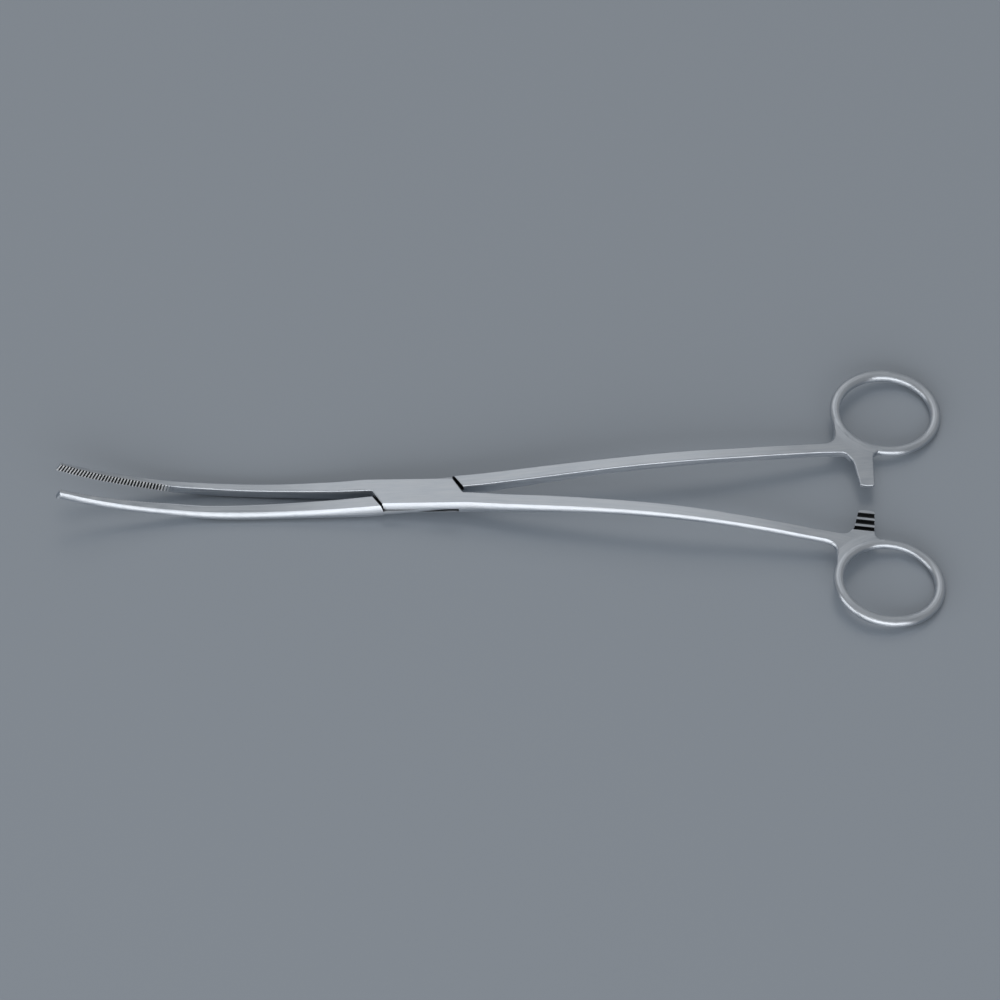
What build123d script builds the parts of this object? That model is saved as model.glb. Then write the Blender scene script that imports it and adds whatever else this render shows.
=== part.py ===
import math
import os

from build123d import *

os.makedirs("parts", exist_ok=True)

# ---------------------------------------------------------------------------
# Long double-curved sponge holding forceps with a box lock, 260 mm overall.
#
# The two arms are drawn closed in the lock frame: X runs along the lock from
# jaws (-X) to finger rings (+X), Z is the pivot axis, Y is the opening
# direction, and the origin is the pivot at mid depth of the lock.  Each arm
# is then turned by half the opening angle, and the whole instrument is tilted
# and lifted so that it lies on the plane z = 0 on both jaws and both rings.
# All lengths in millimetres, angles in degrees.
# ---------------------------------------------------------------------------

# pose
HALF_OPEN = 2.25            # each arm turned this far from the closed position
TILT = -4.8530              # lock frame to table, about Y
REST_X = -24.1399           # where the pivot lands: bounding box centred on the
REST_Y = 0.0                # origin, underside on z = 0
REST_Z = 5.1133

# limb table, closed: station x, drop of the near face from the lock face,
# thickness, half width at the near edge, fall of the near face towards the
# outer edge, bulge of the outer flank
#        x       z      t     a     b     s
JAW = [
    (-103.4, 16.90, 3.72, 1.12, 0.50, 0.70),
    (-99.0, 14.50, 3.70, 1.22, 0.55, 0.72),
    (-92.5, 11.34, 3.66, 1.47, 0.58, 0.77),
    (-85.6, 8.62, 3.60, 1.70, 0.60, 0.80),
    (-78.8, 6.33, 3.56, 1.90, 0.60, 0.84),
    (-72.0, 4.44, 3.68, 2.08, 0.62, 0.88),
    (-64.6, 2.80, 4.02, 2.45, 0.66, 0.94),
    (-56.0, 1.46, 4.32, 2.72, 0.68, 1.00),
    (-47.0, 0.62, 4.42, 2.92, 0.70, 1.02),
    (-38.0, 0.12, 4.46, 3.18, 0.62, 1.04),
    (-30.0, -0.14, 4.52, 3.50, 0.42, 1.05),
    (-22.5, -0.27, 4.70, 3.78, 0.16, 1.06),
    (-18.0, -0.12, 5.00, 4.00, 0.04, 1.06),
    (-14.5, 0.00, 5.20, 4.10, 0.00, 1.06),
]
SHANK = [
    (14.5, 0.00, 5.20, 4.10, 0.0, 1.06),
    (18.0, -0.13, 4.80, 4.24, 0.0, 1.02),
    (23.0, -0.30, 4.22, 4.52, 0.0, 0.98),
    (32.0, -0.38, 3.66, 5.02, 0.0, 0.93),
    (44.0, -0.45, 3.20, 5.66, 0.0, 0.88),
    (58.0, -0.92, 2.88, 6.46, 0.0, 0.82),
    (72.0, -1.93, 2.60, 7.46, 0.0, 0.75),
    (86.0, -3.78, 2.44, 8.52, 0.0, 0.69),
    (98.0, -5.98, 2.40, 9.54, 0.0, 0.64),
    (107.0, -7.760, 2.40, 10.45, 0.0, 0.62),
    (110.0, -8.425, 2.40, 10.78, 0.0, 0.62),
    (112.0, -8.868, 2.40, 11.01, 0.0, 0.62),
    (113.0, -9.090, 2.40, 11.11, 0.0, 0.62),
    (114.0, -9.312, 2.40, 11.21, 0.0, 0.62),
]
HEAD_SLOPE = -12.5          # slope of the flat finger ring head, lock frame
OUT_SLOPE = 0.100           # plan slopes where the shank meets the ring head
IN_SLOPE = 0.112

# inner faces, closed: gap between an arm and the centre plane
TOOTH_GAP = 0.05            # over the serrated length
RELIEF = 0.45               # behind it, up to the lock
SHANK_GAP = [(13.45, 0.45), (20.0, 0.66), (36.5, 1.62), (54.0, 2.86), (71.7, 4.14),
             (89.3, 5.62), (106.9, 7.42), (114.0, 8.20)]
INNER_EDGE_R = 0.40         # broken inner edges
SHOULDER_EDGE_R = 0.25

# box lock
BOX_L = 14.5                # half length of the parallel part
BOX_T = 5.20                # depth over both cheeks
BOX_W = 4.10                # half width at the faces
CHEEK_END = [(-13.45, 0.45), (-9.94, -4.75)]     # sloping end of the cheeks
SHOULDER_GAP = 0.55         # cheek end to shoulder of the other arm, closed
SLOT_TOP, SLOT_BOTTOM = 0.50, -1.00
SLOT_END = 12.20
TONGUE_PLAY = 0.05
PIN_R = 1.50
PIN_PLAY = 0.05

# serrations
TOOTH_PITCH = 0.94
TOOTH_WIDTH = 0.90
TOOTH_DEPTH = 0.42
TOOTH_COUNT = 38
TOOTH_FIRST = 0.70          # first groove behind the tip, along the jaw
TOOTH_FADE = 7              # grooves that run out at the rear

# finger ring head, in the head plane: s along the slope from x = 114, y out
HEAD_T = 2.40
RING_S, RING_Y = 25.0, 24.0
RING_A, RING_B = 15.05, 13.26       # half axes of the ring's centre line
RING_TURN = 3.5
RING_W, RING_T, RING_R = (2.80, 3.35), (2.64, 3.00), (1.14, 1.36)   # near, far side
WEB_HALF, WEB_BULGE = 1.17, 0.59    # outer flank of the web: half depth, bulge
RING_FROM = -100            # the ring is thinnest at this angle
STUB_S0, STUB_S1 = 15.45, 20.25
STUB_END_NEAR = -2.28       # end of the near ratchet, past the centre plane
STUB_END_FAR = -0.20
RATCHET_GAP = 0.06
STUB_ROOT = 7.6             # the half-depth ratchets end here
TEETH_FAR = 0.72            # gullet depths
TEETH_NEAR = 0.60
RATCHET = [(0.95, 1.15, 2.70), (3.30, 3.50, 5.02), (5.65, 5.85, 7.25)]


def slopes(table):
    """Tangent angle of the near face at every station of a limb table."""
    pts = [(row[0], row[1]) for row in table]
    out = []
    for i in range(len(pts)):
        if i == 0:
            d = (pts[1][1] - pts[0][1]) / (pts[1][0] - pts[0][0])
        elif i == len(pts) - 1:
            d = (pts[-1][1] - pts[-2][1]) / (pts[-1][0] - pts[-2][0])
        else:
            h0 = pts[i][0] - pts[i - 1][0]
            h1 = pts[i + 1][0] - pts[i][0]
            d0 = (pts[i][1] - pts[i - 1][1]) / h0
            d1 = (pts[i + 1][1] - pts[i][1]) / h1
            d = (d0 * h1 + d1 * h0) / (h0 + h1)
        out.append(math.degrees(math.atan(d)))
    return out


def station_plane(x, z, angle):
    a = math.radians(angle)
    return Plane(origin=(x, 0, BOX_T / 2 + z), x_dir=(0, 1, 0),
                 z_dir=(math.cos(a), 0, math.sin(a)))


def draw_section(t, a, b, s):
    """Full section of both arms: ridge and falling near faces, convex outer
    flanks, nearly flat far faces."""
    b2 = 0.35 * b
    mid = -(b + t - b2) / 2
    with BuildLine() as outline:
        Line((-a, -b), (0, 0))
        Line((0, 0), (a, -b))
        if s > 0:
            ThreePointArc((a, -b), (a + s, mid), (a, -t + b2))
        else:
            Line((a, -b), (a, -t + b2))
        Line((a, -t + b2), (0, -t))
        Line((0, -t), (-a, -t + b2))
        if s > 0:
            ThreePointArc((-a, -t + b2), (-a - s, mid), (-a, -b))
        else:
            Line((-a, -t + b2), (-a, -b))
    return make_face(outline.edges())


jaw_slope = slopes(JAW)
jaw_slope[-1] = 0.0
shank_slope = slopes(SHANK)
shank_slope[0] = 0.0
for k in range(-5, 0):
    shank_slope[k] = HEAD_SLOPE

# ---- the blank that both arms are cut from --------------------------------
with BuildPart() as jaw_blank:
    for row, ang in zip(JAW, jaw_slope):
        with BuildSketch(station_plane(row[0], row[1], ang)):
            draw_section(*row[2:])
    loft()

with BuildPart() as shank_blank:
    for row, ang in zip(SHANK, shank_slope):
        with BuildSketch(station_plane(row[0], row[1], ang)):
            draw_section(*row[2:])
    loft()

with BuildPart() as box_blank:
    with BuildSketch(station_plane(-BOX_L, 0, 0)):
        draw_section(*JAW[-1][2:])
    extrude(amount=2 * BOX_L)


# ---- plan outlines of the two arms, closed --------------------------------
c0, c1 = CHEEK_END
c_len = math.hypot(c1[0] - c0[0], c1[1] - c0[1])
c_dir = ((c1[0] - c0[0]) / c_len, (c1[1] - c0[1]) / c_len)
sh0 = (c0[0] + SHOULDER_GAP * c_dir[1], c0[1] - SHOULDER_GAP * c_dir[0])
sh_t = (-RELIEF - sh0[1]) / c_dir[1]
shoulder0 = (sh0[0] + sh_t * c_dir[0], -RELIEF)
shoulder1 = (sh0[0] + 7.5 * c_dir[0], sh0[1] + 7.5 * c_dir[1])
shank_in = SHANK_GAP[1:]
s_end = shank_in[-1]

# box arm: jaw above the centre plane on the left, shank below it on the right
with BuildSketch() as box_plan:
    with BuildLine():
        Polyline((-110, 30), (-110, TOOTH_GAP), (-73.5, TOOTH_GAP))
        Spline((-73.5, TOOTH_GAP), (-67.0, (TOOTH_GAP + RELIEF) / 2), (-60.5, RELIEF),
               tangents=((1, 0), (1, 0)))
        Polyline((-60.5, RELIEF), c0, c1, (c1[0], -30), (120, -30), (120, -s_end[1] - 0.7),
                 (s_end[0], -s_end[1]))
        Spline(*[(x, -y) for x, y in reversed(shank_in)],
               tangents=((-1, IN_SLOPE), (-1, 0.085)))
        Polyline((shank_in[0][0], -shank_in[0][1]), (-c0[0], -c0[1]), (-c1[0], -c1[1]),
                 (-c1[0], 30), (-110, 30))
    make_face()
    fillet(box_plan.vertices().sort_by(lambda v: abs(v.X - c0[0]) + abs(v.Y - c0[1]))[0], 0.5)
    fillet(box_plan.vertices().sort_by(lambda v: abs(v.X + c0[0]) + abs(v.Y + c0[1]))[0], 0.5)

# tongue arm, full depth: jaw below the centre plane, shank above it
with BuildSketch() as tongue_plan:
    with BuildLine():
        Polyline((-110, -30), (-110, -TOOTH_GAP), (-73.5, -TOOTH_GAP))
        Spline((-73.5, -TOOTH_GAP), (-67.0, -(TOOTH_GAP + RELIEF) / 2), (-60.5, -RELIEF),
               tangents=((1, 0), (1, 0)))
        Polyline((-60.5, -RELIEF), shoulder0, shoulder1, (shoulder1[0], -30), (-110, -30))
    make_face()
    with BuildLine():
        Polyline((120, 30), (120, s_end[1] + 0.7), s_end)
        Spline(*reversed(shank_in), tangents=((-1, -IN_SLOPE), (-1, -0.085)))
        Polyline(shank_in[0], (-shoulder0[0], -shoulder0[1]), (-shoulder1[0], -shoulder1[1]),
                 (-shoulder1[0], 30), (120, 30))
    make_face()

# the slot through the box and the tongue that fills it
with BuildSketch(Plane.XY.offset(SLOT_BOTTOM)) as slot_plan:
    Polygon((-20, -10), (-20, RELIEF), (-SLOT_END, RELIEF), (-SLOT_END, 10), (20, 10),
            (20, -RELIEF), (SLOT_END, -RELIEF), (SLOT_END, -10), align=None)

tr = SLOT_END - 0.10
tongue_rise = 0.3
arc_a = (-math.sqrt(tr ** 2 - tongue_rise ** 2), tongue_rise)
arc_c = (-math.sqrt(tr ** 2 - 5.0 ** 2), 5.0)
arc_b = (-math.sqrt(tr ** 2 - 2.6 ** 2), 2.6)
lead = (-tr - 0.5, -RELIEF)
with BuildSketch(Plane.XY.offset(SLOT_BOTTOM + TONGUE_PLAY)) as tongue_core:
    with BuildLine():
        Polyline((-15, -10), (-15, -RELIEF), lead, arc_a)
        ThreePointArc(arc_a, arc_b, arc_c)
        Polyline(arc_c, (arc_c[0], 10), (15, 10), (15, RELIEF), (-lead[0], RELIEF),
                 (-arc_a[0], -arc_a[1]))
        ThreePointArc((-arc_a[0], -arc_a[1]), (-arc_b[0], -arc_b[1]), (-arc_c[0], -arc_c[1]))
        Polyline((-arc_c[0], -arc_c[1]), (-arc_c[0], -10), (-15, -10))
    make_face()

# ---- finger ring head -----------------------------------------------------
ha = math.radians(HEAD_SLOPE)
head_up = (-math.sin(ha), 0, math.cos(ha))
head_plane = Plane(origin=(SHANK[-1][0] - head_up[0] * HEAD_T / 2, 0,
                           BOX_T / 2 + SHANK[-1][1] - head_up[2] * HEAD_T / 2),
                   x_dir=(math.cos(ha), 0, math.sin(ha)), z_dir=head_up)
JOIN_IN, JOIN_OUT = s_end[1], SHANK[-1][3]


cs = math.cos(ha)


def head_plate(stub_end):
    """Web between shank and ring with the ratchet stub, full depth, +Y side."""
    with BuildPart() as plate:
        with BuildSketch(head_plane.offset(-HEAD_T / 2)) as outline:
            with BuildLine() as edge:
                Spline((0, JOIN_IN), (6.2, 8.80), (11.0, 9.06),
                       tangents=((1, IN_SLOPE * cs), (1, 0.02)))
                Spline((11.0, 9.06), (13.3, 7.7), (14.5, 5.2), tangents=((1, 0.02), (0.19, -1)))
                Line((14.5, 5.2), (14.5 + 0.19 * (5.2 - stub_end - 0.3), stub_end + 0.3))
                ThreePointArc((14.5 + 0.19 * (5.2 - stub_end - 0.3), stub_end + 0.3),
                              ((STUB_S0 + STUB_S1) / 2, stub_end), (STUB_S1, stub_end + 0.3))
                Line((STUB_S1, stub_end + 0.3), (STUB_S1 + 0.1, 7.6))
                Spline((STUB_S1 + 0.1, 7.6), (STUB_S1 + 0.75, 9.3), (22.6, 10.2), (27.0, 10.6),
                       tangents=((0.01, 1), (1, 0.05)))
                Polyline((27.0, 10.6), (27.0, RING_Y), (9.3, RING_Y), (9.45, 17.6))
                Spline((9.45, 17.6), (9.75, 15.9), (9.42, 14.2), (8.45, 12.75), (6.7, 11.95),
                       (4.0, 11.60), (0, JOIN_OUT), tangents=((0.25, -1), (-1, -OUT_SLOPE * cs)))
                Line((0, JOIN_OUT), (0, JOIN_IN))
            make_face(edge.edges())
            ends = [v for v in outline.vertices() if abs(v.Y - stub_end - 0.3) < 0.01]
            fillet(ends, 0.7)
            with Locations((RING_S, RING_Y)):
                Ellipse(RING_A, RING_B, rotation=RING_TURN, mode=Mode.SUBTRACT)
        extrude(amount=HEAD_T)
    return plate.part


near_plate = head_plate(STUB_END_NEAR)
far_plate = head_plate(STUB_END_FAR)

# bulging outer flank of the web, continuing that of the shank: place along
# the head, distance out, heading
WEB_PATH = [(-0.5, 11.16, 5.6), (0.6, 11.27, 5.6), (1.7, 11.38, 5.6), (2.8, 11.49, 5.6),
            (3.9, 11.60, 5.9), (4.95, 11.71, 7.2), (5.95, 11.85, 10), (6.85, 12.06, 17),
            (7.65, 12.36, 26), (8.35, 12.79, 38), (8.90, 13.39, 54), (9.27, 14.1, 66),
            (9.50, 14.95, 78), (9.64, 15.9, 86), (9.72, 16.9, 83), (9.98, 17.95, 74),
            (10.4, 19.2, 65)]
with BuildPart() as web_flank:
    for s0, y0, turn in WEB_PATH:
        heading = (head_plane.x_dir * math.cos(math.radians(turn))
                   + head_plane.y_dir * math.sin(math.radians(turn)))
        with BuildSketch(Plane(origin=head_plane.from_local_coords((s0, y0, 0)), x_dir=head_up,
                               z_dir=heading)):
            with BuildLine() as profile:
                Polyline((WEB_HALF, 0.04), (WEB_HALF, 0.7), (-WEB_HALF, 0.7), (-WEB_HALF, 0.04))
                ThreePointArc((-WEB_HALF, 0.04), (0, -WEB_BULGE), (WEB_HALF, 0.04))
            make_face(profile.edges())
    loft()


def ring_station(angle):
    """Plane across the ring at an angle of its centre line, and the share of
    the way from its thinnest to its thickest place."""
    t, r = math.radians(angle), math.radians(RING_TURN)
    px, py = RING_A * math.cos(t), RING_B * math.sin(t)
    dx, dy = -RING_A * math.sin(t), RING_B * math.cos(t)
    at = head_plane.from_local_coords((RING_S + px * math.cos(r) - py * math.sin(r),
                                       RING_Y + px * math.sin(r) + py * math.cos(r), 0))
    ahead = (head_plane.x_dir * (dx * math.cos(r) - dy * math.sin(r))
             + head_plane.y_dir * (dx * math.sin(r) + dy * math.cos(r)))
    share = (1 - math.cos(math.radians(angle - RING_FROM))) / 2
    return Plane(origin=at, x_dir=head_up, z_dir=ahead), share


with BuildPart() as finger_ring:
    for half in (0, 180):
        for step in range(0, 181, 30):
            across, share = ring_station(RING_FROM + half + step)
            with BuildSketch(across):
                RectangleRounded(RING_T[0] + share * (RING_T[1] - RING_T[0]),
                                 RING_W[0] + share * (RING_W[1] - RING_W[0]),
                                 RING_R[0] + share * (RING_R[1] - RING_R[0]))
        loft()


# ---- places on the limbs, used to pick edges and to set grooves -----------
def on_limb(table, angles, x, y, depth=0.0):
    """Point on the near surface over x (or depth below it), at the given y."""
    for i in range(len(table) - 1):
        if table[i][0] <= x <= table[i + 1][0]:
            u = (x - table[i][0]) / (table[i + 1][0] - table[i][0])
            h = table[i + 1][0] - table[i][0]
            m0 = math.tan(math.radians(angles[i])) * h
            m1 = math.tan(math.radians(angles[i + 1])) * h
            z = ((2 * u ** 3 - 3 * u ** 2 + 1) * table[i][1] + (u ** 3 - 2 * u ** 2 + u) * m0
                 + (3 * u ** 2 - 2 * u ** 3) * table[i + 1][1] + (u ** 3 - u ** 2) * m1)
            slope = math.radians((1 - u) * angles[i] + u * angles[i + 1])
            return (x + depth * math.sin(slope), y, BOX_T / 2 + z - depth * math.cos(slope)), slope
    raise ValueError(x)


def jaw_edges(edges, side):
    """Inner edges of a jaw, near and far, tip to lock."""
    picked = []
    for x, y in ((-85.6, TOOTH_GAP), (-67.0, 0.25), (-38.0, RELIEF)):
        t = [row[2] for row in JAW if row[0] >= x][0]
        for depth in (0.0, t):
            picked.append(edges.sort_by_distance(on_limb(JAW, jaw_slope, x, side * y, depth)[0])[0])
    return picked


def shank_edges(edges, side, stub_end):
    """Near inner edges of a shank and of its ring head."""
    picked = []
    for x, y in ((17.5, 0.57), (58.0, 3.15)):
        picked.append(edges.sort_by_distance(on_limb(SHANK, shank_slope, x, side * y)[0])[0])
    for s, y in ((6.2, 8.80), (14.4, (5.2 + stub_end) / 2 + 0.4), (STUB_S1 + 0.03, 4.0),
                 (24.0, 10.36)):
        picked.append(edges.sort_by_distance(
            head_plane.from_local_coords((s, side * y, HEAD_T / 2)))[0])
    return picked


def groove_plane(k, shift=0.0):
    """Plane of a serration: local x along the jaw, local y the opening
    direction, z out of the near face; the origin lies on the near face."""
    length, target = 0.0, TOOTH_FIRST + k * TOOTH_PITCH + shift
    x = JAW[0][0]
    while length < target:
        length += 0.01 / math.cos(on_limb(JAW, jaw_slope, x, 0)[1])
        x += 0.01
    at, slope = on_limb(JAW, jaw_slope, x, 0)
    return Plane(origin=at, x_dir=(math.cos(slope), 0, math.sin(slope)),
                 z_dir=(-math.sin(slope), 0, math.cos(slope)))


def inner_gap(x):
    """Distance of the inner face from the centre plane over the serrations."""
    if x <= -73.5:
        return TOOTH_GAP
    u = min(1.0, (x + 73.5) / 13.0)
    return TOOTH_GAP + (RELIEF - TOOTH_GAP) * (3 * u ** 2 - 2 * u ** 3)


def serration_cutters(side, shift):
    """V grooves across the inner face of one jaw."""
    with BuildPart() as cutters:
        for k in range(TOOTH_COUNT):
            plane = groove_plane(k, shift)
            left = TOOTH_COUNT - k
            depth = TOOTH_DEPTH * min(1.0, left / TOOTH_FADE)
            g = inner_gap(plane.origin.X)
            over = 0.25
            w = TOOTH_WIDTH / 2 * (0.55 + 0.45 * min(1.0, left / TOOTH_FADE))
            with BuildSketch(plane.offset(1.0)):
                with BuildLine() as vee:
                    Polyline((-w * (1 + over / depth), side * (g - over)), (0, side * (g + depth)),
                             (w * (1 + over / depth), side * (g - over)),
                             (-w * (1 + over / depth), side * (g - over)))
                make_face(vee.edges())
            extrude(amount=-7.0)
    return cutters.part


def tip_cutters(side):
    """Rounds the free end of a jaw in plan and in profile."""
    tip, slope = on_limb(JAW, jaw_slope, JAW[0][0], 0)
    flat = Plane(origin=tip, x_dir=(math.cos(slope), 0, math.sin(slope)),
                 z_dir=(-math.sin(slope), 0, math.cos(slope)))
    upright = Plane(origin=tip, x_dir=flat.x_dir, z_dir=(0, -1, 0))
    thick = JAW[0][2]
    with BuildPart() as cutters:
        with BuildSketch(flat.offset(1.0)):
            with BuildLine() as outer:
                Line((-0.6, side * 0.75), (-0.002, side * 0.75))
                ThreePointArc((-0.002, side * 0.75), (0.32, side * 1.42), (1.05, side * 1.85))
                Polyline((1.05, side * 1.85), (1.05, side * 3), (-0.6, side * 3),
                         (-0.6, side * 0.75))
            make_face(outer.edges())
            with BuildLine() as inner:
                Line((-0.6, side * 0.40), (-0.002, side * 0.40))
                ThreePointArc((-0.002, side * 0.40), (0.10, side * 0.15), (0.36, side * 0.045))
                Polyline((0.36, side * 0.045), (0.36, -side * 0.3), (-0.6, -side * 0.3),
                         (-0.6, side * 0.40))
            make_face(inner.edges())
        extrude(amount=-(thick + 2))
        with BuildSketch(upright.offset(-3)):
            with BuildLine() as near:
                Line((-0.6, -0.85), (-0.002, -0.85))
                ThreePointArc((-0.002, -0.85), (0.20, -0.28), (0.75, 0.03))
                Polyline((0.75, 0.03), (0.75, 0.6), (-0.6, 0.6), (-0.6, -0.85))
            make_face(near.edges())
            with BuildLine() as far:
                Line((-0.6, 0.55 - thick), (-0.002, 0.55 - thick))
                ThreePointArc((-0.002, 0.55 - thick), (0.16, 0.16 - thick), (0.55, -0.01 - thick))
                Polyline((0.55, -0.01 - thick), (0.55, -0.6 - thick), (-0.6, -0.6 - thick),
                         (-0.6, 0.55 - thick))
            make_face(far.edges())
        extrude(amount=6)
    return cutters.part


def ratchet_cutters(side, face, end, depth):
    """Half the depth of a ratchet stub and its tooth gullets.  side: +1 for
    the head at +Y; face: +1 when the kept half is the near one; end: tip of
    the stub measured towards its own side."""
    with BuildPart() as cutters:
        with BuildSketch(head_plane.offset(face * RATCHET_GAP)):
            with Locations((18.0, side * (STUB_ROOT + end - 2) / 2)):
                Rectangle(11, STUB_ROOT - end + 2)
        extrude(amount=-face * 4)
        with BuildSketch(Plane(origin=head_plane.origin + head_plane.x_dir * 13,
                               x_dir=(0, 1, 0), z_dir=head_plane.x_dir)):
            for y0, y1, y2 in RATCHET:
                g = face * RATCHET_GAP
                with BuildLine() as tooth:
                    Polyline((side * (end + y0), g - face * 0.4), (side * (end + y0), g),
                             (side * (end + y1), g + face * depth), (side * (end + y2), g),
                             (side * (end + y2), g - face * 0.4),
                             (side * (end + y0), g - face * 0.4))
                make_face(tooth.edges())
        extrude(amount=10)
    return cutters.part


# ---- the two arms, closed -------------------------------------------------
blank = jaw_blank.part + box_blank.part + shank_blank.part

with BuildPart() as box_closed:
    add(blank)
    extrude(box_plan.sketch.moved(Location((0, 0, -60))), amount=120, mode=Mode.INTERSECT)
    add(far_plate.mirror(Plane.XZ))
    fillet(jaw_edges(box_closed.edges(), 1), INNER_EDGE_R)
    fillet(shank_edges(box_closed.edges(), -1, STUB_END_FAR), INNER_EDGE_R)
    extrude(slot_plan.sketch, amount=SLOT_TOP - SLOT_BOTTOM, mode=Mode.SUBTRACT)
    add(ratchet_cutters(-1, -1, STUB_END_FAR, TEETH_FAR), mode=Mode.SUBTRACT)
    add(web_flank.part.mirror(Plane.XZ))
    add(finger_ring.part.mirror(Plane.XZ))
    add(tip_cutters(1), mode=Mode.SUBTRACT)
    add(serration_cutters(1, 0.0), mode=Mode.SUBTRACT)
    with Locations((0, 0, -BOX_T)):
        Cylinder(PIN_R, 2 * BOX_T, mode=Mode.SUBTRACT,
                 align=(Align.CENTER, Align.CENTER, Align.MIN))

with BuildPart() as tongue_limbs:
    add(blank)
    extrude(tongue_plan.sketch.moved(Location((0, 0, -60))), amount=120, mode=Mode.INTERSECT)
    add(near_plate)
    fillet(jaw_edges(tongue_limbs.edges(), -1), INNER_EDGE_R)
    fillet(shank_edges(tongue_limbs.edges(), 1, STUB_END_NEAR), INNER_EDGE_R)
    step_at = (-(shoulder0[0] + shoulder1[0]) / 2, -(shoulder0[1] + shoulder1[1]) / 2, BOX_T / 2)
    fillet(tongue_limbs.edges().sort_by_distance(step_at)[0], SHOULDER_EDGE_R)

with BuildPart() as tongue_web:
    add(box_blank.part)
    extrude(tongue_core.sketch, amount=SLOT_TOP - SLOT_BOTTOM - 2 * TONGUE_PLAY, mode=Mode.INTERSECT)

with BuildPart() as tongue_closed:
    add(tongue_limbs.part)
    add(tongue_web.part)
    add(ratchet_cutters(1, 1, STUB_END_NEAR, TEETH_NEAR), mode=Mode.SUBTRACT)
    add(web_flank.part)
    add(finger_ring.part)
    add(tip_cutters(-1), mode=Mode.SUBTRACT)
    add(serration_cutters(-1, TOOTH_PITCH / 2), mode=Mode.SUBTRACT)
    with Locations((0, 0, -BOX_T)):
        Cylinder(PIN_R + PIN_PLAY, 2 * BOX_T, mode=Mode.SUBTRACT,
                 align=(Align.CENTER, Align.CENTER, Align.MIN))


# ---- the instrument as it lies --------------------------------------------
def laid(half_open):
    """Plane that carries the lock frame of an arm to its place on the table."""
    t, h = math.radians(TILT), math.radians(half_open)
    return Plane(origin=(REST_X, REST_Y, REST_Z),
                 x_dir=(math.cos(h) * math.cos(t), math.sin(h), -math.cos(h) * math.sin(t)),
                 z_dir=(math.sin(t), 0, math.cos(t)))


with BuildPart() as box_arm:
    with Locations(laid(-HALF_OPEN)):
        add(box_closed.part)
box_arm.part.label = "box_arm"
export_step(box_arm.part, "parts/box_arm.step")

with BuildPart() as tongue_arm:
    with Locations(laid(HALF_OPEN)):
        add(tongue_closed.part)
tongue_arm.part.label = "tongue_arm"
export_step(tongue_arm.part, "parts/tongue_arm.step")

with BuildPart() as pivot_pin:
    with Locations(laid(-HALF_OPEN)):
        Cylinder(PIN_R, BOX_T)
pivot_pin.part.label = "pivot_pin"
export_step(pivot_pin.part, "parts/pivot_pin.step")
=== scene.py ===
import math

import bpy
from mathutils import Matrix, Vector

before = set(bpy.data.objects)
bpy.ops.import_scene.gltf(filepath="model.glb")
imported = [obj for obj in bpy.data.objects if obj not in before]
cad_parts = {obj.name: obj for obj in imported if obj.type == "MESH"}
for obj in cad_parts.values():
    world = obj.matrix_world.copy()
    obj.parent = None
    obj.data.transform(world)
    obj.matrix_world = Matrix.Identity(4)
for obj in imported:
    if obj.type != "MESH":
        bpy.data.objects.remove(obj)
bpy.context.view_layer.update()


scene = bpy.context.scene

# ---------------------------------------------------------------------------
# Where things are, in metres: rotation of the lock frame to the table, the
# pivot, and the centres of the finger rings.
# ---------------------------------------------------------------------------
TILT = math.radians(-4.8530)
HALF_OPEN = math.radians(2.25)
PIVOT = Vector((-0.0241399, 0.0, 0.0051133))
RING = Vector((0.11359, 0.02941, 0.00348))


# ---------------------------------------------------------------------------
# Steel
# ---------------------------------------------------------------------------
def node(nt, kind, loc, **values):
    n = nt.nodes.new(kind)
    n.location = loc
    for key, value in values.items():
        if hasattr(n, key):
            setattr(n, key, value)
        else:
            n.inputs[key.replace("_", " ")].default_value = value
    return n


def calc(nt, loc, operation, *args):
    """Math node; args are sockets or numbers."""
    n = nt.nodes.new("ShaderNodeMath")
    n.location = loc
    n.operation = operation
    for i, arg in enumerate(args):
        if isinstance(arg, (int, float)):
            n.inputs[i].default_value = arg
        else:
            nt.links.new(arg, n.inputs[i])
    return n.outputs[0]


def ramp(nt, loc, value, lo, hi, out_lo, out_hi, smooth=False):
    n = nt.nodes.new("ShaderNodeMapRange")
    n.location = loc
    if smooth:
        n.interpolation_type = "SMOOTHSTEP"
    nt.links.new(value, n.inputs["Value"])
    for key, number in (("From Min", lo), ("From Max", hi), ("To Min", out_lo),
                        ("To Max", out_hi)):
        n.inputs[key].default_value = number
    return n.outputs[0]


def blend(nt, loc, factor, one, two, kind="RGBA", how=None):
    n = nt.nodes.new("ShaderNodeMix")
    n.location = loc
    n.data_type = kind
    if how:
        n.blend_type = how
    slots = {"RGBA": (6, 7, 2), "FLOAT": (2, 3, 0)}[kind]
    for slot, arg in ((0, factor), (slots[0], one), (slots[1], two)):
        if isinstance(arg, (int, float, tuple)):
            n.inputs[slot].default_value = arg
        else:
            nt.links.new(arg, n.inputs[slot])
    return n.outputs[slots[2]]


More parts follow.
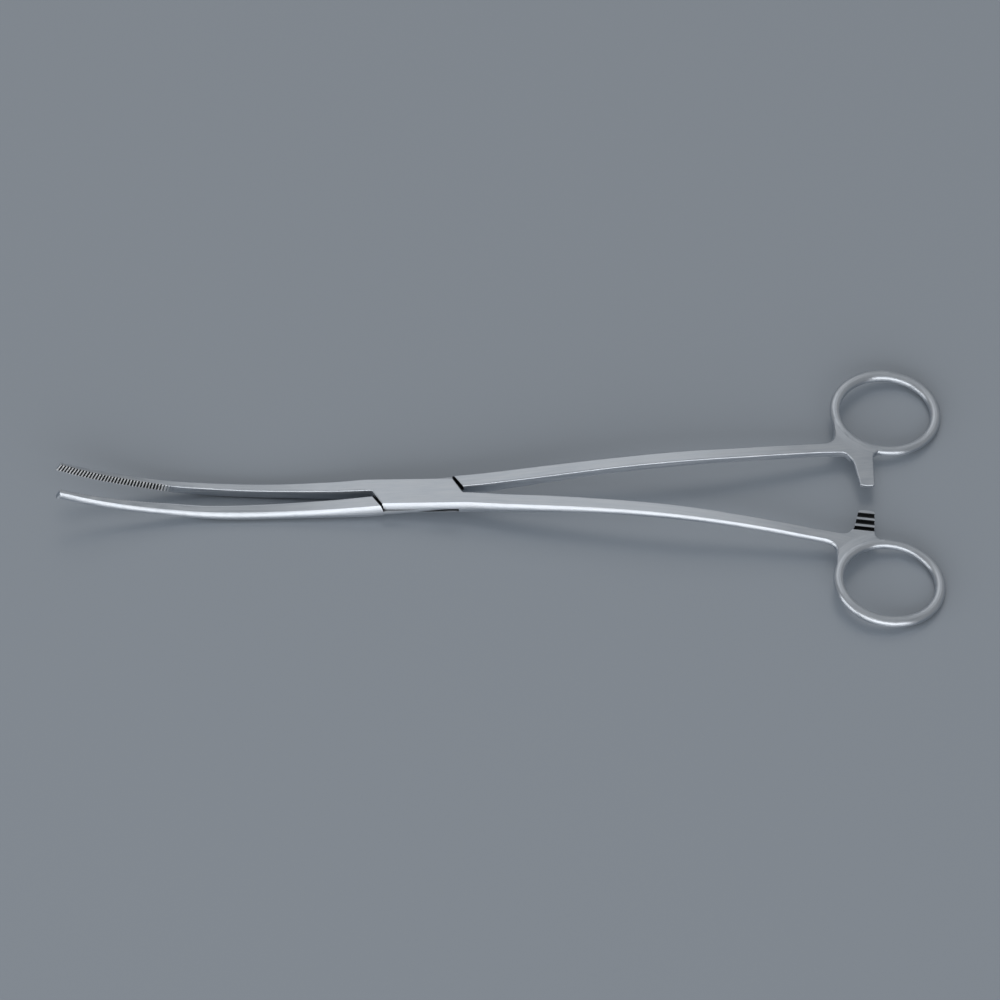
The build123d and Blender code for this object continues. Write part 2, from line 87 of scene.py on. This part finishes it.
def brushed_vector(nt, side, along_scale, across_scale):
    """Coordinates that follow the limbs, and run round the finger rings."""
    co = node(nt, "ShaderNodeTexCoord", (-2700, 0))
    xyz = node(nt, "ShaderNodeSeparateXYZ", (-2500, 0))
    nt.links.new(co.outputs["Object"], xyz.inputs[0])
    x, y, z = xyz.outputs
    # shank centre line: |y| = c2 (x - x0)^2 + c1 (x - x0), to the right of the lock
    dx = calc(nt, (-2300, 300), "MAXIMUM", calc(nt, (-2450, 300), "ADD", x, 0.012), 0.0)
    bend = calc(nt, (-2100, 300), "ADD", calc(nt, (-2250, 400), "MULTIPLY",
                                              calc(nt, (-2250, 500), "POWER", dx, 2.0), 0.42),
                calc(nt, (-2250, 200), "MULTIPLY", dx, 0.062))
    y_limb = calc(nt, (-1900, 300), "SUBTRACT", calc(nt, (-2100, 150), "ABSOLUTE", y), bend)
    limb = node(nt, "ShaderNodeCombineXYZ", (-1700, 300))
    nt.links.new(calc(nt, (-1900, 500), "MULTIPLY", x, along_scale), limb.inputs[0])
    nt.links.new(calc(nt, (-1900, 400), "MULTIPLY", y_limb, across_scale), limb.inputs[1])
    nt.links.new(calc(nt, (-1900, 200), "MULTIPLY", z, across_scale), limb.inputs[2])
    if side == 0:
        return limb.outputs[0], co, None, (1.0, 0.0, 0.0)
    # finger ring: radius and arc length round its centre
    rx = calc(nt, (-2300, -200), "SUBTRACT", x, RING.x)
    ry = calc(nt, (-2300, -350), "SUBTRACT", y, side * RING.y)
    ry = calc(nt, (-2150, -350), "MULTIPLY", ry, 1.12)
    radius = calc(nt, (-2000, -200), "SQRT",
                  calc(nt, (-2050, -100), "ADD", calc(nt, (-2150, -200), "MULTIPLY", rx, rx),
                       calc(nt, (-2150, -300), "MULTIPLY", ry, ry)))
    turn = calc(nt, (-2000, -350), "ARCTAN2", ry, rx)
    ring = node(nt, "ShaderNodeCombineXYZ", (-1700, -250))
    nt.links.new(calc(nt, (-1850, -400), "MULTIPLY", turn, along_scale * 0.0148), ring.inputs[0])
    nt.links.new(calc(nt, (-1850, -250), "MULTIPLY", radius, across_scale), ring.inputs[1])
    nt.links.new(calc(nt, (-1850, -500), "MULTIPLY", z, across_scale), ring.inputs[2])
    share = ramp(nt, (-1700, 0), radius, 0.0172, 0.0190, 1.0, 0.0, True)
    mix = nt.nodes.new("ShaderNodeMix")
    mix.location = (-1450, 100)
    mix.data_type = "VECTOR"
    nt.links.new(share, mix.inputs[0])
    nt.links.new(limb.outputs[0], mix.inputs[4])
    nt.links.new(ring.outputs[0], mix.inputs[5])
    # direction of brushing
    round_it = node(nt, "ShaderNodeCombineXYZ", (-1700, -700))
    nt.links.new(calc(nt, (-1850, -700), "MULTIPLY", ry, -1.0), round_it.inputs[0])
    nt.links.new(rx, round_it.inputs[1])
    way = nt.nodes.new("ShaderNodeMix")
    way.location = (-1450, -700)
    way.data_type = "VECTOR"
    way.inputs[4].default_value = (0.02, 0.0, 0.0)
    nt.links.new(share, way.inputs[0])
    nt.links.new(round_it.outputs[0], way.inputs[5])
    return mix.outputs[1], co, (x, y, z), way.outputs[1]


def steel(name, side):
    """Satin stainless steel with fine grinding marks that run along the limbs
    and around the finger ring.  side: +1 for the arm whose ring is at +Y."""
    m = bpy.data.materials.new(name)
    m.use_nodes = True
    nt = m.node_tree
    nt.nodes.clear()
    out = node(nt, "ShaderNodeOutputMaterial", (1100, 0))
    b = node(nt, "ShaderNodeBsdfPrincipled", (800, 0))
    nt.links.new(b.outputs[0], out.inputs[0])
    b.inputs["Metallic"].default_value = 1.0
    b.inputs["Specular IOR Level"].default_value = 0.5
    b.inputs["Anisotropic"].default_value = 0.80

    fine_at, co, xyz, way = brushed_vector(nt, side, 90.0, 5200.0)
    fine = node(nt, "ShaderNodeTexNoise", (-1150, 250), Scale=1.0, Detail=3.0, Roughness=0.6)
    nt.links.new(fine_at, fine.inputs["Vector"])
    streak_at = brushed_vector(nt, side, 24.0, 1100.0)[0]
    streak = node(nt, "ShaderNodeTexNoise", (-1150, 0), Scale=1.0, Detail=2.0, Roughness=0.5)
    nt.links.new(streak_at, streak.inputs["Vector"])
    cloud = node(nt, "ShaderNodeTexNoise", (-1150, -250), Scale=70.0, Detail=2.0)
    nt.links.new(co.outputs["Object"], cloud.inputs["Vector"])

    # polish: streaky, a little duller in the places that are hard to reach
    rough = calc(nt, (-500, 200), "ADD", ramp(nt, (-800, 250), fine.outputs["Fac"],
                                              0.3, 0.7, 0.26, 0.33),
                 ramp(nt, (-800, 50), streak.outputs["Fac"], 0.3, 0.7, 0.0, 0.07))
    tone = blend(nt, (-500, -150), ramp(nt, (-800, -150), cloud.outputs["Fac"],
                                        0.35, 0.65, 0.0, 1.0),
                 (0.545, 0.585, 0.635, 1), (0.582, 0.620, 0.668, 1))
    tone = blend(nt, (-300, -150), ramp(nt, (-500, -350), streak.outputs["Fac"],
                                        0.35, 0.65, 0.0, 0.75),
                 tone, (0.665, 0.695, 0.735, 1))

    # painted shade: ambient occlusion darkens the colour at the bottom of teeth, slot and corners
    hollow = node(nt, "ShaderNodeAmbientOcclusion", (-500, -550), samples=12)
    hollow.inputs["Distance"].default_value = 0.0015
    depth = ramp(nt, (-300, -550), hollow.outputs["AO"], 0.48, 0.90, 0.0, 1.0, True)
    # the grinding marks spread reflections across the limb, not along it
    geo = node(nt, "ShaderNodeNewGeometry", (-1150, -800))
    across = node(nt, "ShaderNodeVectorMath", (300, -600), operation="CROSS_PRODUCT")
    nt.links.new(geo.outputs["Normal"], across.inputs[0])
    if side:
        nt.links.new(way, across.inputs[1])
    else:
        across.inputs[1].default_value = way
    level = node(nt, "ShaderNodeVectorMath", (500, -600), operation="NORMALIZE")
    nt.links.new(across.outputs[0], level.inputs[0])
    nt.links.new(level.outputs[0], b.inputs["Tangent"])
    grip = 0.0
    if side:
        # painted highlight on the crests of the serrations, and painted shade between them
        nrm = node(nt, "ShaderNodeSeparateXYZ", (-950, -800))
        nt.links.new(geo.outputs["True Normal"], nrm.inputs[0])
        inward = ramp(nt, (-750, -800), calc(nt, (-850, -900), "MULTIPLY", nrm.outputs[1], side),
                      0.30, 0.55, 0.0, 1.0)
        x, y, z = xyz
        toothed = ramp(nt, (-750, -1000), x, -0.0998, -0.0968, 1.0, 0.0)
        # depth below the crests: distance from the face that the jaws meet on
        run = calc(nt, (-1150, -1200), "ADD",
                   calc(nt, (-1350, -1200), "MULTIPLY", x, math.cos(TILT) * side),
                   calc(nt, (-1350, -1350), "MULTIPLY", z, -math.sin(TILT) * side))
        run = calc(nt, (-1000, -1200), "ADD", run,
                   side * (PIVOT.z * math.sin(TILT) - PIVOT.x * math.cos(TILT)))
        dip = calc(nt, (-850, -1200), "SUBTRACT",
                   calc(nt, (-1000, -1350), "MULTIPLY", run, math.sin(HALF_OPEN)),
                   calc(nt, (-1000, -1500), "MULTIPLY", y, math.cos(HALF_OPEN)))
        dip = calc(nt, (-700, -1200), "MULTIPLY", dip, side)
        crest = ramp(nt, (-550, -1200), dip, 0.00017, 0.00030, 1.0, 0.0, True)
        grip = calc(nt, (-550, -900), "MULTIPLY", inward, toothed)
        # painted highlight near white on the crests; painted shade near black lower in the grooves
        painted_crest_highlight = calc(nt, (-400, -900), "MULTIPLY", grip, crest)
        painted_gullet_shade = calc(nt, (-400, -1100), "MULTIPLY", grip,
                    calc(nt, (-550, -1100), "SUBTRACT", 1.0, crest))
        # the gullets of the ratchets, darkened with painted shade: depth below the faces that pass
        # each other
        tilt, turn, slope = TILT, side * HALF_OPEN, math.radians(12.5)
        face = Vector((math.sin(slope) * math.cos(turn) * math.cos(tilt)
                       + math.cos(slope) * math.sin(tilt),
                       math.sin(slope) * math.sin(turn),
                       math.cos(slope) * math.cos(tilt)
                       - math.sin(slope) * math.cos(turn) * math.sin(tilt)))
        at = node(nt, "ShaderNodeVectorMath", (-1150, -1800), operation="DOT_PRODUCT")
        at.inputs[1].default_value = face
        nt.links.new(co.outputs["Object"], at.inputs[0])
        sunk = calc(nt, (-1000, -1800), "SUBTRACT", face.dot(Vector((RING.x, side * RING.y,
                                                                    RING.z))), at.outputs["Value"])
        sunk = calc(nt, (-850, -1800), "MULTIPLY", sunk, -side)
        gullet = calc(nt, (-600, -1800), "MULTIPLY",
                      ramp(nt, (-700, -1800), sunk, 0.00013, 0.00022, 0.0, 1.0),
                      ramp(nt, (-700, -1950), sunk, 0.00100, 0.00085, 0.0, 1.0))
        band = calc(nt, (-600, -2100), "MULTIPLY",
                    ramp(nt, (-700, -2100), calc(nt, (-850, -2100), "MULTIPLY", y, side),
                         0.01350, 0.01365, 1.0, 0.0),
                    ramp(nt, (-700, -2250), x, 0.0980, 0.0990, 0.0, 1.0))
        level_face = calc(nt, (-600, -2400), "MULTIPLY",
                          ramp(nt, (-700, -2400),
                               calc(nt, (-850, -2400), "ABSOLUTE", nrm.outputs[0]),
                               0.55, 0.65, 1.0, 0.0),
                          ramp(nt, (-700, -2550),
                               calc(nt, (-850, -2550), "ABSOLUTE", nrm.outputs[2]),
                               0.10, 0.18, 0.0, 1.0))
        painted_gullet_shade = calc(nt, (-300, -1500), "MAXIMUM", painted_gullet_shade,
                    calc(nt, (-400, -1800), "MULTIPLY", gullet,
                         calc(nt, (-500, -2200), "MULTIPLY", band, level_face)))
        # painted highlight: near-white colour on the serration crests
        tone = blend(nt, (-100, -250), painted_crest_highlight, tone, (0.93, 0.94, 0.95, 1))
        # painted shade: near-black colour in the serration grooves and ratchet gullets
        tone = blend(nt, (0, -450), painted_gullet_shade, tone, (0.045, 0.047, 0.050, 1))
    # painted shade: near-black colour where ambient occlusion finds hollows
    tone = blend(nt, (150, -150), depth, (0.022, 0.023, 0.025, 1), tone)
    nt.links.new(tone, b.inputs["Base Color"])
    rough = calc(nt, (300, 150), "ADD", rough, ramp(nt, (100, 50), depth, 0.0, 1.0, 0.18, 0.0))
    if side:
        rough = calc(nt, (500, 150), "ADD", rough, calc(nt, (400, 300), "MULTIPLY", grip, 0.20))
    nt.links.new(rough, b.inputs["Roughness"])

    bump = node(nt, "ShaderNodeBump", (400, -350))
    bump.inputs["Strength"].default_value = 0.06
    bump.inputs["Distance"].default_value = 0.00002
    nt.links.new(fine.outputs["Fac"], bump.inputs["Height"])
    nt.links.new(bump.outputs[0], b.inputs["Normal"])
    return m


for name, side in (("box_arm", -1), ("tongue_arm", 1), ("pivot_pin", 0)):
    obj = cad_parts[name]
    mat = steel(name + "_steel_with_painted_shade", side)
    obj.data.materials.clear()
    obj.data.materials.append(mat)


# ---------------------------------------------------------------------------
# Floor and light
# ---------------------------------------------------------------------------
mesh = bpy.data.meshes.new("floor")
mesh.from_pydata([(-4, -4, 0), (4, -4, 0), (4, 4, 0), (-4, 4, 0)], [], [(0, 1, 2, 3)])
floor = bpy.data.objects.new("floor", mesh)
scene.collection.objects.link(floor)
fm = bpy.data.materials.new("floor_paper")
fm.use_nodes = True
fb = fm.node_tree.nodes["Principled BSDF"]
fb.inputs["Base Color"].default_value = (0.308, 0.350, 0.402, 1)
fb.inputs["Roughness"].default_value = 0.30
fb.inputs["Specular IOR Level"].default_value = 1.0
mesh.materials.append(fm)

world = bpy.data.worlds.new("studio")
world.use_nodes = True
world.node_tree.nodes["Background"].inputs["Color"].default_value = (0.94, 0.97, 1.0, 1)
world.node_tree.nodes["Background"].inputs["Strength"].default_value = 0.32
scene.world = world


def softbox(name, azimuth, elevation, distance, width, height, radiance, colour=(1, 1, 1)):
    """Area light facing the origin. azimuth 0 is in front (-Y), 90 is +X."""
    a, e = math.radians(azimuth), math.radians(elevation)
    at = Vector((math.sin(a) * math.cos(e), -math.cos(a) * math.cos(e), math.sin(e))) * distance
    light = bpy.data.lights.new(name, "AREA")
    light.shape = "RECTANGLE"
    light.size = width
    light.size_y = height
    light.energy = radiance * math.pi * width * height
    light.color = colour
    obj = bpy.data.objects.new(name, light)
    obj.location = at
    obj.rotation_euler = (-at).to_track_quat("-Z", "Y").to_euler()
    obj.visible_camera = False
    scene.collection.objects.link(obj)
    return obj


softbox("front", 0, 19, 2.4, 3.4, 2.1, 1.72)
softbox("front_left", 298, 14, 2.5, 1.8, 1.2, 1.8)
softbox("back", 190, 53, 2.2, 1.7, 1.6, 0.50)

# ---------------------------------------------------------------------------
# Camera: 57.7 degrees above the table, far away with a long lens
# ---------------------------------------------------------------------------
ELEVATION = math.radians(57.70)
SWING = math.radians(-0.14)
ROLL = math.radians(0.02)
DISTANCE = 3.03
CENTRE = Vector((-0.0001, 0.0, 0.0080))
PIXEL = 1.0 / 3410.0
right = Vector((math.cos(SWING), math.sin(SWING), 0))
back = Vector((math.sin(SWING) * math.cos(ELEVATION),
               -math.cos(SWING) * math.cos(ELEVATION), math.sin(ELEVATION)))
up = back.cross(right)
aim = CENTRE - up * 9.8 * PIXEL
cam_right = right * math.cos(ROLL) + up * math.sin(ROLL)
cam_up = up * math.cos(ROLL) - right * math.sin(ROLL)
cam_data = bpy.data.cameras.new("camera")
cam_data.sensor_fit = "HORIZONTAL"
cam_data.sensor_width = 36.0
cam_data.lens = 36.0 * DISTANCE / (1000.0 * PIXEL)
cam_data.clip_start = 0.05
cam_data.clip_end = 30.0
cam = bpy.data.objects.new("camera", cam_data)
at = aim + back * DISTANCE
cam.matrix_world = Matrix(((cam_right.x, cam_up.x, back.x, at.x),
                           (cam_right.y, cam_up.y, back.y, at.y),
                           (cam_right.z, cam_up.z, back.z, at.z),
                           (0, 0, 0, 1)))
scene.collection.objects.link(cam)
scene.camera = cam
scene.view_settings.view_transform = "Standard"
scene.view_settings.look = "None"
